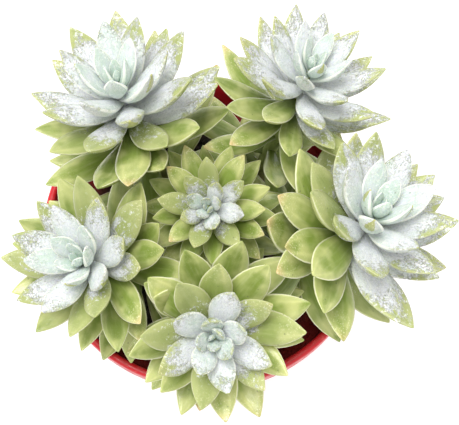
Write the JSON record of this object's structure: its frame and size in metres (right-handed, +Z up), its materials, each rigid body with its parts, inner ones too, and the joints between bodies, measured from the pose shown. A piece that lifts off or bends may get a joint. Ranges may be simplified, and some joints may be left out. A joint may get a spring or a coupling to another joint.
{
  "type": "potted succulent",
  "caption": "Potted succulent: leafy stems that end in plump rosettes of pointed, powder-coated leaves, growing together in a round red plastic nursery pot.",
  "frame": {"origin": "centre of the pot's flat underside, on the surface that it stands on", "axes": "+Z up, +X to the right and +Y away from the viewer in the picture's view"},
  "size_m": [0.127, 0.1253, 0.1679],
  "materials": {
    "red_plastic": "bright red injection-moulded plastic, satin gloss",
    "potting_soil": "dark, crumbly peat and bark mix",
    "succulent_foliage": "waxy green leaves under a whitish powder, rubbed off in patches"
  },
  "bodies": {
    "root": {"pot": "red_plastic", "soil": "potting_soil", "leafy_stem_right": "succulent_foliage", "leafy_stem_back_left": "succulent_foliage", "leafy_stem_back_right": "succulent_foliage", "leafy_stem_front": "succulent_foliage", "leafy_stem_left": "succulent_foliage", "leafy_stem_centre": "succulent_foliage"}
  },
  "joints": []
}
